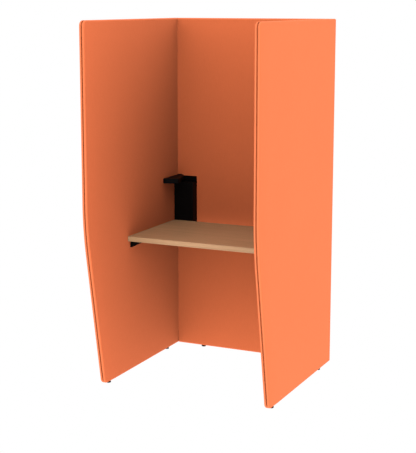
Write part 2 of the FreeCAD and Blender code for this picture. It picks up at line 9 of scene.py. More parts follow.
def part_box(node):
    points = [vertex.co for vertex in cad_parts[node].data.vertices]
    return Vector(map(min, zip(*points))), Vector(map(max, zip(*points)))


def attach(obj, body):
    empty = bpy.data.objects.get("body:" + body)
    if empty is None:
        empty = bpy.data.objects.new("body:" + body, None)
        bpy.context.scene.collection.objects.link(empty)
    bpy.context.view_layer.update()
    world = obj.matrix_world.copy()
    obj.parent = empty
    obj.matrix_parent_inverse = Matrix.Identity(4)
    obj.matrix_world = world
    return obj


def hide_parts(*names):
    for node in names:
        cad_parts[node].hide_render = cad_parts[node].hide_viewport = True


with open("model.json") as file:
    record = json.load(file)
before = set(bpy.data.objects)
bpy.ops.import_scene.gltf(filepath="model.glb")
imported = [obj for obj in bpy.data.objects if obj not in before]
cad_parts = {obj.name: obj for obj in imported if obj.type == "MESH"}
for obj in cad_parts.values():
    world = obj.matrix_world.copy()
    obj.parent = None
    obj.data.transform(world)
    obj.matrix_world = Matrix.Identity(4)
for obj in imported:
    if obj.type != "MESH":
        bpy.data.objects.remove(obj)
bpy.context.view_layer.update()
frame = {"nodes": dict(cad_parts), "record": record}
scene = bpy.context.scene
nodes = frame["nodes"]

# Picture: the camera stands right of the open front, a little above the booth's top
PICTURE_LONG_SIDE = 453
SENSOR_WIDTH = 36.0
FOCAL_PIXELS = 1168.5
CENTRE_RISE_PIXELS = 18.1
CAMERA_PLACE = (2.4078, -5.1783, 1.8818)
CAMERA_YAW = math.radians(25.18)
CAMERA_PITCH = math.radians(10.024)

# Sizes of the booth, in metres, as its solids have them
HALF_WIDTH = 0.457
HALF_DEPTH = 0.492
BOOTH_HEIGHT = 1.798
FLOOR_GAP = 0.008
PANEL_THICKNESS = 0.033
INNER_HALF_WIDTH = HALF_WIDTH - PANEL_THICKNESS
INNER_BACK = HALF_DEPTH - PANEL_THICKNESS
BEND_HEIGHT = 0.809
LEAN = math.radians(10.4)
FEET = ("left_front", "left_rear", "right_front", "right_rear", "back_left", "back_right")

# Outline of a side panel: places from front to back and from the floor up, with the radius of each corner
SIDE_CORNERS = [
    Vector((-HALF_DEPTH + (BEND_HEIGHT - FLOOR_GAP) * math.tan(LEAN), FLOOR_GAP)),
    Vector((HALF_DEPTH, FLOOR_GAP)),
    Vector((HALF_DEPTH, BOOTH_HEIGHT)),
    Vector((-HALF_DEPTH, BOOTH_HEIGHT)),
    Vector((-HALF_DEPTH, BEND_HEIGHT))]
SIDE_RADII = [0.025, 0.006, 0.006, 0.025, 1.4]
SIDE_CORNER_STEPS = [12, 6, 6, 12, 24]
SIDE_RUN_STEPS = 40
INNER_ROUNDING = 0.25

# Edge of a skin: depth from the face to the groove, fall of the face towards its edge, and size of the round
SkinShape = namedtuple("SkinShape", "depth sink edge_depth edge_reach")
SKIN_CROWN = 0.0008
PLAIN_EDGE = SkinShape(depth=0.0132, sink=SKIN_CROWN, edge_depth=0.0085, edge_reach=0.0085)
FRONT_LEFT_EDGE = SkinShape(depth=0.0119, sink=SKIN_CROWN, edge_depth=0.0085, edge_reach=0.0085)
FRONT_RIGHT_EDGE = SkinShape(depth=0.0145, sink=0.0046, edge_depth=0.0079, edge_reach=0.007)
FRONT_FADE = 0.10

# Rows across a skin: distance in from the panel's outline, depth, how strongly a painted highlight lightens
# the fabric there, and how slack the cover is there
SkinRow = namedtuple("SkinRow", "inset depth wear slack")
CROWN_INSETS = (0.120, 0.090, 0.065, 0.045, 0.030, 0.018, 0.0095)
EDGE_STEPS = 8
# Painted highlight: the fabric is lightened on the rounded edges of the skins and at the groove's edges,
# where light catches them
PAINTED_HIGHLIGHT_FOCUS = 4
PAINTED_HIGHLIGHT_LAYER = "edge_painted_highlight"
GROOVE_DEPTH = 0.0075
GROOVE_EDGE = 0.0020
GROOVE_SHUT_BELOW = 0.004
GROOVE_OPEN_ABOVE = 0.024
HOLLOW_INSET = 0.00915
SKIN_THICKNESS = 0.005
BACK_STEPS = 24

# Unevenness of a turned edge: waves of (radians per metre, share, shift)
PULL_WAVES = ((33, 1.0, 0.0), (77, 0.7, 1.0), (129, 0.5, 2.0))
EDGE_PULL = 0.00012
PULL_REACH = 0.045

# Holes for the foot stems in the skins' lower edges
FOOT_HOLE = 0.010
FOOT_HOLE_REACH = 0.012
FOOT_HOLE_POINTS = 32

# Bolts and screws; shares are of the head's diameter, apart from the dome's, which is of its height
Fastener = namedtuple("Fastener", "recess head_height shank")
BRACKET_BOLT = Fastener(recess="hex", head_height=0.0035, shank=0.006)
DESK_SCREW = Fastener(recess="cross", head_height=0.0025, shank=0.004)
LAMP_SCREW = Fastener(recess="cross", head_height=0.002, shank=0.0025)
FASTENER_POINTS = 48
HEAD_STEPS = 5
HEAD_FLAT = 0.32
HEAD_ROUND = 0.18
HEAD_DOME = 0.75
HEX_WIDTH = 0.33
HEX_DEPTH = 0.15
HEX_RIM = 0.23
CROSS_FLOOR_REACH = 0.08
CROSS_FLOOR_HALF_WIDTH = 0.03
CROSS_DEPTH = 0.16
CROSS_REACH = 0.25
CROSS_HALF_WIDTH = 0.06
CROSS_LIP = 0.01
CROSS_RIM = 0.30

# Threads; crest and root are shares of the pitch, and the tip is a share of the shank's radius
THREAD_PITCH = 0.001
THREAD_DEPTH = 0.0003
THREAD_CREST = 0.15
THREAD_ROOT = 0.60
THREAD_TIP = 0.6

# Foot stems: one turn of thread as (share of the pitch, share of the thread's depth)
STEM_PITCH = 0.00125
STEM_THREAD_DEPTH = 0.0006
STEM_TURN = ((0.05, 1.0), (0.45, 0.0), (0.55, 0.0), (0.95, 1.0))

# Foot pads: underside as (share of radius, height), rim as (share of radius, share of height, flute depth)
PAD_POINTS = 144
PAD_FLUTES = 24
PAD_FLUTE_DEPTH = 0.0004
PAD_HEX_HEIGHT = 0.0012
PAD_HEX_WIDTH = 0.013
PAD_HOLLOW = 0.0008
PAD_UNDERSIDE = ((0.30, PAD_HOLLOW), (0.62, PAD_HOLLOW), (0.68, 0.0), (0.93, 0.0))
PAD_RIM = ((0.98, 0.10, 0.0), (1.0, 0.24, PAD_FLUTE_DEPTH), (1.0, 0.70, PAD_FLUTE_DEPTH),
           (0.98, 0.86, 0.0), (0.93, 0.96, 0.0), (0.86, 1.0, 0.0))

# Limits for meshes
SHARP_ANGLE = math.radians(40)
SAME_POINT = 1e-6
TINY = 1e-6

# Light
SKY_STRENGTH = 1.28
BACKDROP_STRENGTH = 1.0
DIFFUSE_BOUNCES = 0
FLOOR_SIZE = 60.0
FLOOR_DROP = 0.0155
BACKDROP_RADIUS = 40.0
BACKDROP_SEGMENTS = 48
BACKDROP_RINGS = 24

# Plain colours; a fourth number is the opacity
BLACK_OPAQUE = (0.0, 0.0, 0.0, 1.0)
WHITE_OPAQUE = (1.0, 1.0, 1.0, 1.0)
WHITE = (1.0, 1.0, 1.0)

# Kinds of values of a material: noise, a tint where a value is low, and bump, with its distance in metres
Grain = namedtuple("Grain", "scale detail roughness stretch", defaults=(0.55, None))
Tint = namedtuple("Tint", "weight colour low high")
Relief = namedtuple("Relief", "strength distance")

# Fabric
WEAVE_PITCH = 0.0016
WEAVE_SWING = 0.25
WEAVE_MIDDLE = 0.5
WEAVE_TINT = Tint(weight=0.5, colour=(0.90, 0.87, 0.84), low=0.2, high=0.8)
FIBRE = Grain(scale=1400.0, detail=2.0)
FIBRE_TINT = Tint(weight=0.4, colour=(0.90, 0.88, 0.86), low=0.3, high=0.7)
FIBRE_RELIEF_SHARE = 0.5
SLUB = Grain(scale=6.0, detail=3.0, stretch=(90.0, 90.0, 5.0))
SLUB_COLOURS = ((0.25, (0.905, 0.194, 0.069)), (0.75, (0.960, 0.210, 0.076)))
FABRIC_CLOUD = Grain(scale=3.0, detail=4.0)
FABRIC_CLOUD_TINT = Tint(weight=0.35, colour=(0.93, 0.93, 0.93), low=0.3, high=0.7)
# Lighter fabric colour of the painted highlight on the skins' edges
FABRIC_PAINTED_HIGHLIGHT = (0.965, 0.250, 0.100)
FABRIC_ROUGHNESS = (0.82, 0.96)
FABRIC_RELIEF = Relief(strength=0.25, distance=0.0004)
FABRIC_SHEEN_TINT = (1.0, 0.72, 0.55, 1.0)

# Wood; streak is the weight of the streaks' tint
Wood = namedtuple("Wood", "dark light streak")
WOODS = {
    "frame_wood": Wood(dark=(0.42, 0.27, 0.14), light=(0.55, 0.38, 0.22), streak=0.5),
    "desk_wood": Wood(dark=(0.68, 0.345, 0.165), light=(0.79, 0.41, 0.21), streak=0.55),
    "desk_edge": Wood(dark=(0.63, 0.355, 0.18), light=(0.75, 0.44, 0.235), streak=0.7)}
WOOD_BROAD = Grain(scale=3.0, detail=5.0, roughness=0.6, stretch=(0.8, 22.0, 22.0))
WOOD_STREAKS = Grain(scale=1.0, detail=4.0, roughness=0.7, stretch=(1.5, 150.0, 150.0))
WOOD_FINE = Grain(scale=3.0, detail=4.0, roughness=0.7, stretch=(3.0, 420.0, 420.0))
WOOD_PORES = Grain(scale=2.0, detail=2.0, roughness=0.5, stretch=(18.0, 900.0, 900.0))
WOOD_BROAD_STOPS = (0.3, 0.7)
WOOD_STREAK_TINT = Tint(weight=1.0, colour=(0.74, 0.68, 0.62), low=0.36, high=0.58)
WOOD_FINE_TINT = Tint(weight=0.4, colour=(0.72, 0.66, 0.60), low=0.35, high=0.62)
WOOD_PORE_TINT = Tint(weight=0.35, colour=(0.55, 0.46, 0.38), low=0.30, high=0.42)
WOOD_ROUGHNESS = (0.42, 0.58)
WOOD_RELIEF = Relief(strength=0.12, distance=0.0002)

# Painted or moulded black
BlackCoat = namedtuple("BlackCoat", "dark light roughness grain gloss")
BLACK_COATS = {
    "black_steel": BlackCoat(dark=0.0012, light=0.0026, roughness=(0.48, 0.60), grain=1600.0, gloss=0.06),
    "tower_black": BlackCoat(dark=0.0014, light=0.0028, roughness=(0.48, 0.60), grain=1900.0, gloss=0.07),
    "black_plastic": BlackCoat(dark=0.0012, light=0.0026, roughness=(0.46, 0.62), grain=1200.0, gloss=0.06)}
BLACK_PEEL_DETAIL = 2.0
BLACK_CLOUD = Grain(scale=14.0, detail=4.0)
BLACK_CLOUD_STOPS = (0.35, 0.7)
BLACK_RELIEF = Relief(strength=0.15, distance=0.0002)

# Steel
STEEL_MARKS = Grain(scale=900.0, detail=2.0, stretch=(1.0, 1.0, 8.0))
STEEL_CLOUD = Grain(scale=60.0, detail=3.0)
STEEL_COLOURS = ((0.3, (0.50, 0.50, 0.49)), (0.7, (0.66, 0.66, 0.64)))
STEEL_ROUGHNESS = (0.28, 0.45)
STEEL_RELIEF = Relief(strength=0.1, distance=0.0001)

# Light mottled surfaces
Mottled = namedtuple("Mottled", "dark light scale rough depth")
MOTTLED = {
    "infill_wool": Mottled((0.20, 0.20, 0.19), (0.32, 0.32, 0.31), scale=250.0, rough=0.9, depth=0.002),
    "driver_white": Mottled((0.66, 0.66, 0.64), (0.74, 0.74, 0.72), scale=120.0, rough=0.5, depth=0.0002),
    "washer_plastic": Mottled((0.70, 0.70, 0.66), (0.78, 0.78, 0.74), scale=200.0, rough=0.45, depth=0.0001),
    "board_white": Mottled((0.76, 0.77, 0.75), (0.84, 0.85, 0.83), scale=150.0, rough=0.4, depth=0.0001),
    "diffuser_plastic": Mottled((0.80, 0.80, 0.78), (0.86, 0.86, 0.84), scale=90.0, rough=0.45, depth=0.0001)}
MOTTLE_DETAIL = 4.0
MOTTLE_STOPS = (0.3, 0.7)
MOTTLE_ROUGHNESS_SWING = 0.08
MOTTLE_STRENGTH = 0.2

# Socket numbers of a Mix node that mixes colours
MIX_INPUTS = (0, 6, 7)
MIX_RESULT = 2


# Node helpers

def material(name):
    """New node material; returns it with its tree and its main shader."""
    made = bpy.data.materials.new(name)
    made.use_nodes = True
    return made, made.node_tree, made.node_tree.nodes["Principled BSDF"]


def node(tree, kind, **values):
    """Node of a kind with its properties or unlinked sockets set by name."""
    made = tree.nodes.new(kind)
    for key, value in values.items():
        if hasattr(made, key):
            setattr(made, key, value)
        else:
            made.inputs[key.replace("_", " ")].default_value = value
    return made


def plug(tree, socket, value):
    """Feed a socket from another one, or set it to a number or a colour."""
    if isinstance(value, bpy.types.NodeSocket):
        tree.links.new(value, socket)
    elif isinstance(value, tuple):
        socket.default_value = (*value, 1.0)
    else:
        socket.default_value = value


def math_node(tree, operation, *values):
    """Result of a math operation on sockets or numbers."""
    made = node(tree, "ShaderNodeMath", operation=operation)
    for socket, value in zip(made.inputs, values):
        plug(tree, socket, value)
    return made.outputs[0]


def position(tree):
    """Position in the part's frame, in metres."""
    return node(tree, "ShaderNodeTexCoord").outputs["Object"]


def stretched(tree, vector, scale):
    """Position stretched by a scale for each axis."""
    made = node(tree, "ShaderNodeMapping")
    made.inputs["Scale"].default_value = scale
    tree.links.new(vector, made.inputs["Vector"])
    return made.outputs["Vector"]


def noise(tree, where, grain):
    """Noise value of a grain at a position."""
    if grain.stretch:
        where = stretched(tree, where, grain.stretch)
    made = node(tree, "ShaderNodeTexNoise", Scale=grain.scale, Detail=grain.detail, Roughness=grain.roughness)
    tree.links.new(where, made.inputs["Vector"])
    return made.outputs["Fac"]


def ramp(tree, value, stops):
    """Colour for a value, from two stops of (position, colour)."""
    made = node(tree, "ShaderNodeValToRGB")
    for element, (stop, colour) in zip(made.color_ramp.elements, stops):
        element.position = stop
        element.color = (*colour, 1.0)
    tree.links.new(value, made.inputs["Fac"])
    return made.outputs["Color"]


def mix(tree, blend, factor, first, second):
    """Mix of two colours; factor and colours are sockets or values."""
    made = node(tree, "ShaderNodeMix", data_type="RGBA", blend_type=blend)
    for number, value in zip(MIX_INPUTS, (factor, first, second)):
        plug(tree, made.inputs[number], value)
    return made.outputs[MIX_RESULT]


def tinted(tree, colour, value, tint):
    """Colour multiplied by a tint where a value is low, and left alone where it is high."""
    shades = ramp(tree, value, ((tint.low, tint.colour), (tint.high, WHITE)))
    return mix(tree, "MULTIPLY", tint.weight, colour, shades)


def remap(tree, value, limits):
    """Value from 0 to 1 stretched between two limits."""
    made = node(tree, "ShaderNodeMapRange")
    low, high = limits
    made.inputs["To Min"].default_value = low
    made.inputs["To Max"].default_value = high
    tree.links.new(value, made.inputs["Value"])
    return made.outputs["Result"]


def dress(tree, shader, colour, roughness, height, relief):
    """Colour, roughness and surface relief of a shader, each from a socket."""
    tree.links.new(colour, shader.inputs["Base Color"])
    tree.links.new(roughness, shader.inputs["Roughness"])
    made = node(tree, "ShaderNodeBump", Strength=relief.strength, Distance=relief.distance)
    tree.links.new(height, made.inputs["Height"])
    tree.links.new(made.outputs["Normal"], shader.inputs["Normal"])


def set_values(shader, **values):
    """Constants on a shader's own sockets."""
    for key, value in values.items():
        shader.inputs[key.replace("_", " ")].default_value = value


# Materials

def weave_value(tree, where):
    """Height of a plain weave whose threads run along the three axes."""
    axes = node(tree, "ShaderNodeSeparateXYZ")
    tree.links.new(where, axes.inputs[0])
    turns = [math_node(tree, "MULTIPLY", axis, 2 * math.pi / WEAVE_PITCH) for axis in axes.outputs]
    waves = [math_node(tree, "SINE", turn) for turn in turns]
    crossings = [math_node(tree, "MULTIPLY", waves[i - 1], waves[i]) for i in range(3)]
    total = math_node(tree, "ADD", math_node(tree, "ADD", crossings[0], crossings[1]), crossings[2])
    return math_node(tree, "MULTIPLY_ADD", total, WEAVE_SWING, WEAVE_MIDDLE)


def fabric_material():
    """Orange fabric: a fine weave whose threads differ a little in shade, with a painted highlight that
    lightens the turned edges of the skins.
    """
    made, tree, shader = material("panel_fabric")
    where = position(tree)
    weave = weave_value(tree, where)
    fibre = noise(tree, where, FIBRE)
    colour = ramp(tree, noise(tree, where, SLUB), SLUB_COLOURS)
    # Painted highlight: the fabric is lightened where the skins' edges turn towards the groove
    highlight_attribute = node(tree, "ShaderNodeAttribute", attribute_name=PAINTED_HIGHLIGHT_LAYER)
    colour = mix(tree, "MIX", highlight_attribute.outputs["Fac"], colour, FABRIC_PAINTED_HIGHLIGHT)
    colour = tinted(tree, colour, noise(tree, where, FABRIC_CLOUD), FABRIC_CLOUD_TINT)
    colour = tinted(tree, colour, weave, WEAVE_TINT)
    colour = tinted(tree, colour, fibre, FIBRE_TINT)
    height = math_node(tree, "MULTIPLY_ADD", fibre, FIBRE_RELIEF_SHARE, weave)
    dress(tree, shader, colour, remap(tree, fibre, FABRIC_ROUGHNESS), height, FABRIC_RELIEF)
    set_values(shader, Sheen_Weight=0.05, Sheen_Roughness=0.5, Sheen_Tint=FABRIC_SHEEN_TINT,
               Specular_IOR_Level=0.08)
    return made


def wood_material(name, wood):
    """Straight-grained wood surface with the grain along the width of the desk."""
    made, tree, shader = material(name)
    where = position(tree)
    fine = noise(tree, where, WOOD_FINE)
    pores = noise(tree, where, WOOD_PORES)
    streak_tint = WOOD_STREAK_TINT._replace(weight=wood.streak)
    colour = ramp(tree, noise(tree, where, WOOD_BROAD), zip(WOOD_BROAD_STOPS, (wood.dark, wood.light)))
    colour = tinted(tree, colour, noise(tree, where, WOOD_STREAKS), streak_tint)
    colour = tinted(tree, colour, fine, WOOD_FINE_TINT)
    colour = tinted(tree, colour, pores, WOOD_PORE_TINT)
    height = math_node(tree, "ADD", fine, pores)
    dress(tree, shader, colour, remap(tree, fine, WOOD_ROUGHNESS), height, WOOD_RELIEF)
    set_values(shader, Specular_IOR_Level=0.35)
    return made


def black_material(name, coat):
    """Painted or moulded black surface with a fine texture and slightly uneven tone."""
    made, tree, shader = material(name)
    where = position(tree)
    peel = noise(tree, where, Grain(coat.grain, BLACK_PEEL_DETAIL))
    cloud = noise(tree, where, BLACK_CLOUD)
    colour = ramp(tree, cloud, zip(BLACK_CLOUD_STOPS, ((coat.dark,) * 3, (coat.light,) * 3)))
    dress(tree, shader, colour, remap(tree, cloud, coat.roughness), peel, BLACK_RELIEF)
    set_values(shader, Specular_IOR_Level=coat.gloss)
    return made


def steel_material():
    """Zinc-plated steel with fine turning marks."""
    made, tree, shader = material("fastener_steel")
    where = position(tree)
    marks = noise(tree, where, STEEL_MARKS)
    colour = ramp(tree, noise(tree, where, STEEL_CLOUD), STEEL_COLOURS)
    dress(tree, shader, colour, remap(tree, marks, STEEL_ROUGHNESS), marks, STEEL_RELIEF)
    set_values(shader, Metallic=1.0)
    return made


def mottled_material(name, look):
    """Light surface with a soft mottled grain, such as wool, moulded plastic or a coated board."""
    made, tree, shader = material(name)
    mottle = noise(tree, position(tree), Grain(look.scale, MOTTLE_DETAIL))
    colour = ramp(tree, mottle, zip(MOTTLE_STOPS, (look.dark, look.light)))
    limits = (look.rough - MOTTLE_ROUGHNESS_SWING, look.rough + MOTTLE_ROUGHNESS_SWING)
    dress(tree, shader, colour, remap(tree, mottle, limits), mottle, Relief(MOTTLE_STRENGTH, look.depth))
    return made


def all_finishes():
    """The material of each slot of the record."""
    made = {"panel_fabric": fabric_material(), "fastener_steel": steel_material()}
    for kind, looks in ((wood_material, WOODS), (black_material, BLACK_COATS), (mottled_material, MOTTLED)):
        for name, look in looks.items():
            made[name] = kind(name, look)
    return made


def finish_cad_nodes():
    """Put each CAD node's finish in its material slot."""
    for subpart in frame["record"]["subparts"]:
        holder = nodes[subpart["node"]]
        holder.data.materials.clear()
        holder.data.materials.append(finishes[subpart["material_slot"]])


# Mesh helpers

def loft(mesh, rings):
    """Side faces between rings of equally many points, each closed on itself; returns the rings."""
    made = [[mesh.verts.new(point) for point in ring] for ring in rings]
    count = len(rings[0])
    for lower, upper in zip(made, made[1:]):
        for i in range(count):
            j = (i + 1) % count
            mesh.faces.new((lower[i], lower[j], upper[j], upper[i]))
    return made


def close_ends(mesh, rings):
    """Flat faces over the first and the last ring of a loft."""
    mesh.faces.new(rings[0])
    mesh.faces.new(rings[-1])


def finish_piece(name, mesh, body, slot):
    """Object of a mesh that rides on a body and has the finish of a slot."""
    bmesh.ops.remove_doubles(mesh, verts=mesh.verts, dist=SAME_POINT)
    bmesh.ops.recalc_face_normals(mesh, faces=mesh.faces)
    for face in mesh.faces:
        face.smooth = True
    data = bpy.data.meshes.new(name)
    mesh.to_mesh(data)
    mesh.free()
    data.set_sharp_from_angle(angle=SHARP_ANGLE)
    data.materials.append(finishes[slot])
    made = bpy.data.objects.new(name, data)
    scene.collection.objects.link(made)
    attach(made, body)
    return made


def joined_verts(start, left):
    """Points that edges join to a start, taken out of those that are left."""
    group = [start]
    for vert in group:
        for edge in vert.link_edges:
            other = edge.other_vert(vert)
            if other in left:
                left.discard(other)
                group.append(other)
    return group


def loose_boxes(name):
    """Lowest and highest corner of each separate solid in a CAD node."""
    mesh = bmesh.new()
    mesh.from_mesh(nodes[name].data)
    bmesh.ops.remove_doubles(mesh, verts=mesh.verts, dist=SAME_POINT)
    left = set(mesh.verts)
    boxes = []
    while left:
        group = joined_verts(left.pop(), left)
        lowest = Vector([min(vert.co[axis] for vert in group) for axis in range(3)])
        highest = Vector([max(vert.co[axis] for vert in group) for axis in range(3)])
        boxes.append((lowest, highest))
    mesh.free()
    return sorted(boxes, key=lambda corners: tuple(corners[0]))


# Outline of a side panel

def corner_point(previous, corner, following, radius, share):
    """Point at a share of the way round a rounded corner of an outline."""
    back = (previous - corner).normalized()
    ahead = (following - corner).normalized()
    half_turn = (math.pi - back.angle(ahead)) / 2
    if radius <= 0 or half_turn < TINY:
        return corner
    centre = corner + (back + ahead).normalized() * (radius / math.cos(half_turn))
    start = corner + back * (radius * math.tan(half_turn)) - centre
    turn = 2 * half_turn * share
    return centre + Vector((start.x * math.cos(turn) - start.y * math.sin(turn),
                            start.x * math.sin(turn) + start.y * math.cos(turn)))


def moved_inwards(corners, inset):
    """Corners of a counter-clockwise outline after all sides move inwards."""
    count = len(corners)
    sides = []
    for i in range(count):
        run = (corners[(i + 1) % count] - corners[i]).normalized()
        sides.append((corners[i] + Vector((-run.y, run.x)) * inset, run))
    moved = []
    for i in range(count):
        (p, first), (q, second) = sides[i - 1], sides[i]
        along = (q - p).cross(second) / first.cross(second)
        moved.append(p + first * along)
    return moved


def corner_arc(corners, i, inset):
    """Points round one corner of an outline that was moved inwards by an inset."""
    steps = SIDE_CORNER_STEPS[i]
    radius = max(SIDE_RADII[i] - inset, INNER_ROUNDING * inset)
    following = corners[(i + 1) % len(corners)]
    return [corner_point(corners[i - 1], corners[i], following, radius, k / steps) for k in range(steps + 1)]


def outline(inset):
    """Points round a side panel, in its own plane, after its outline moves inwards."""
    corners = moved_inwards(SIDE_CORNERS, inset)
    arcs = [corner_arc(corners, i, inset) for i in range(len(corners))]
    points = []
    for arc, following in zip(arcs, arcs[1:] + arcs[:1]):
        points += arc
        points += [arc[-1].lerp(following[0], k / SIDE_RUN_STEPS) for k in range(1, SIDE_RUN_STEPS)]
    return points


# Fabric skins: a foam-backed cover over each face of a panel, its edges turned over towards the groove

def mixed(first, second, share):
    """Value at a share of the way from the first to the second."""
    return first + (second - first) * share


def four_way(values, across, along):
    """Mix of four values: the first two and the last two are mixed across, and those two results along."""
    return mixed(mixed(values[0], values[1], across), mixed(values[2], values[3], across), along)


def face_rows(shape, lift):
    """Rows over the crowned face of a skin, up to its rounded edge."""
    rows = []
    for inset in CROWN_INSETS:
        depth = shape.sink * (1 - inset / CROWN_INSETS[0]) ** 2 - lift
        rows.append(SkinRow(inset, depth, 0.0, 1.0))
    return rows


def edge_rows(shape, edge_top):
    """Rows round the edge of a skin."""
    rows = []
    for k in range(EDGE_STEPS + 1):
        turn = math.pi / 2 * k / EDGE_STEPS
        # The painted highlight is strongest where the edge turns into the groove
        rows.append(SkinRow(shape.edge_reach * (1 - math.sin(turn)),
                            edge_top + shape.edge_depth * (1 - math.cos(turn)),
                            math.sin(turn) ** PAINTED_HIGHLIGHT_FOCUS, math.cos(turn)))
    return rows


def groove_rows(skin_depth, opening):
    """Rows into the groove, over its floor, and along the hollow back of a skin."""
    groove_edge = GROOVE_EDGE * opening
    groove_depth = GROOVE_DEPTH * opening
    middle = PANEL_THICKNESS / 2
    rows = []
    for k in range(EDGE_STEPS + 1):
        turn = math.pi / 2 * k / EDGE_STEPS
        # The painted highlight fades from the groove's edge into the groove
        rows.append(SkinRow(groove_edge * (1 - math.cos(turn)),
                            skin_depth - groove_edge * (1 - math.sin(turn)),
                            math.cos(turn) ** 2, 0.0))
    for inset, depth in ((groove_depth, skin_depth), (groove_depth, middle),
                         (HOLLOW_INSET, middle), (HOLLOW_INSET, SKIN_THICKNESS)):
        rows.append(SkinRow(inset, depth, 0.0, 0.0))
    return rows


def skin_profile(shape, outer, opening):
    """Rows across a skin: crowned face, rounded edge, groove with its floor, and hollow back.

    Depths are measured from the face of the panel's solid; an outer skin's crowned face stands proud of it.
    The opening is 1 where the groove is open, and 0 where the two skins of a panel meet.
    """
    face = face_rows(shape, SKIN_CROWN if outer else 0.0)
    skin_depth = mixed(PANEL_THICKNESS / 2, shape.depth, opening)
    return face + edge_rows(shape, face[-1].depth) + groove_rows(skin_depth, opening)


def groove_opening(height):
    """How far the groove is open at a height: it closes above the lower edge, where the two skins meet."""
    share = (height - FLOOR_GAP - GROOVE_SHUT_BELOW) / (GROOVE_OPEN_ABOVE - GROOVE_SHUT_BELOW)
    return max(0.0, min(1.0, share))


def pull(point, inset):
    """Slight unevenness of a turned edge, where the cover is pulled over the foam."""
    run = point.x - point.y
    wave = sum(share * math.sin(rate * run + shift) for rate, share, shift in PULL_WAVES)
    return EDGE_PULL * abs(wave) * max(0.0, 1 - inset / PULL_REACH)


def front_share(point, inset):
    """1 along the front edge of a side panel, falling to 0 along its other edges, for a point at an inset."""
    front = -HALF_DEPTH + max(0.0, BEND_HEIGHT - point.y) * math.tan(LEAN)
    behind = max(0.0, point.x - front - inset)
    return max(0.0, 1 - behind / FRONT_FADE)


def skin_mesh(rings, wear):
    """Closed mesh through the rings of a skin that keeps how much painted highlight each point has."""
    mesh = bmesh.new()
    layer = mesh.verts.layers.float.new(PAINTED_HIGHLIGHT_LAYER)
    made = loft(mesh, rings)
    for i, ring in enumerate(made):
        for k, vert in enumerate(ring):
            vert[layer] = wear(i, k)
    close_ends(mesh, made)
    return mesh


def side_ring(rows, edge):
    """Depths and points round a side panel from four matching rows: plain and front, groove shut and open."""
    plain = rows[2]
    contours = [outline(row.inset) for row in rows]
    ring = []
    for i, edge_point in enumerate(edge):
        front = front_share(contours[2][i], plain.inset)
        opening = groove_opening(edge_point.y)
        point = four_way([contour[i] for contour in contours], front, opening)
        depth = four_way([row.depth for row in rows], front, opening)
        ring.append((depth + plain.slack * pull(point, plain.inset), point))
    return ring


def side_skin(side, outer):
    """Padded skin on one face of a side panel."""
    face_x = side * (HALF_WIDTH if outer else INNER_HALF_WIDTH)
    inwards = -side if outer else side
    on_left = (side < 0) == outer
    front_edge = FRONT_LEFT_EDGE if on_left else FRONT_RIGHT_EDGE
    profiles = [skin_profile(shape, outer, opening)
                for opening in (0.0, 1.0) for shape in (PLAIN_EDGE, front_edge)]
    edge = outline(0.0)
    rings = []
    for rows in zip(*profiles):
        ring = side_ring(rows, edge)
        rings.append([(face_x + inwards * depth, point.x, point.y) for depth, point in ring])
    return skin_mesh(rings, lambda i, k: profiles[2][i].wear)


def back_skin(outer):
    """Padded skin on one face of the back panel, square at the ends that meet the side panels."""
    face_y = HALF_DEPTH if outer else INNER_BACK
    inwards = -1 if outer else 1
    upper = skin_profile(PLAIN_EDGE, outer, 1.0)
    lower = skin_profile(PLAIN_EDGE, outer, 0.0)
    section = [(row.depth, BOOTH_HEIGHT - row.inset, row.wear) for row in upper]
    section += [(row.depth, FLOOR_GAP + row.inset, row.wear) for row in reversed(lower)]
    rings = []
    for k in range(BACK_STEPS + 1):
        x = INNER_HALF_WIDTH * (2 * k / BACK_STEPS - 1)
        rings.append([(x, face_y + inwards * depth, z) for depth, z, wear in section])
    return skin_mesh(rings, lambda i, k: section[k][2])


def foot_hole_cutter(feet):
    """Upright rods where the stems of some feet pass through a skin's lower edge."""
    mesh = bmesh.new()
    for name in feet:
        low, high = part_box("foot_" + name + "_stem")
        middle = (Vector(low) + Vector(high)) / 2
        there = Matrix.Translation((middle.x, middle.y, FLOOR_GAP))
        bmesh.ops.create_cone(mesh, cap_ends=True, segments=FOOT_HOLE_POINTS, radius1=FOOT_HOLE / 2,
                              radius2=FOOT_HOLE / 2, depth=2 * FOOT_HOLE_REACH, matrix=there)
    data = bpy.data.meshes.new("foot_holes")
    mesh.to_mesh(data)
    mesh.free()
    cutter = bpy.data.objects.new("foot_holes", data)
    scene.collection.objects.link(cutter)
    return cutter


def cut_foot_holes(piece, feet):
    """Cut the holes for the foot stems through a skin's lower edge."""
    cutter = foot_hole_cutter(feet)
    cut = piece.modifiers.new("foot_holes", "BOOLEAN")
    cut.operation = "DIFFERENCE"
    cut.solver = "EXACT"
    cut.object = cutter
    made = bpy.data.meshes.new_from_object(piece.evaluated_get(bpy.context.evaluated_depsgraph_get()))
    piece.modifiers.clear()
    piece.data = made
    bpy.data.objects.remove(cutter)


def add_skin(panel, face, mesh, feet):
    """One skin of a panel, with holes for its feet."""
    piece = finish_piece(panel + "_" + face + "_cover", mesh, "booth", "panel_fabric")
    cut_foot_holes(piece, feet)
    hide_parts(panel + "_" + face + "_skin")


def add_skins():
    """The six skins of the three panels."""
    for panel, side in (("left", -1), ("right", 1)):
        for face in ("outer", "inner"):
            add_skin(panel, face, side_skin(side, face == "outer"), (panel + "_front", panel + "_rear"))
    for face in ("outer", "inner"):
        add_skin("back", face, back_skin(face == "outer"), ("back_left", "back_right"))


# Rings of turned and moulded pieces

def ring_of(radius_at, height, count=FASTENER_POINTS):
    """Closed ring of points at a height, as far from the middle as a function of the turn says."""
    points = []
    for i in range(count):
        turn = 2 * math.pi * i / count
        radius = radius_at(turn)
        points.append((radius * math.cos(turn), radius * math.sin(turn), height))
    return points


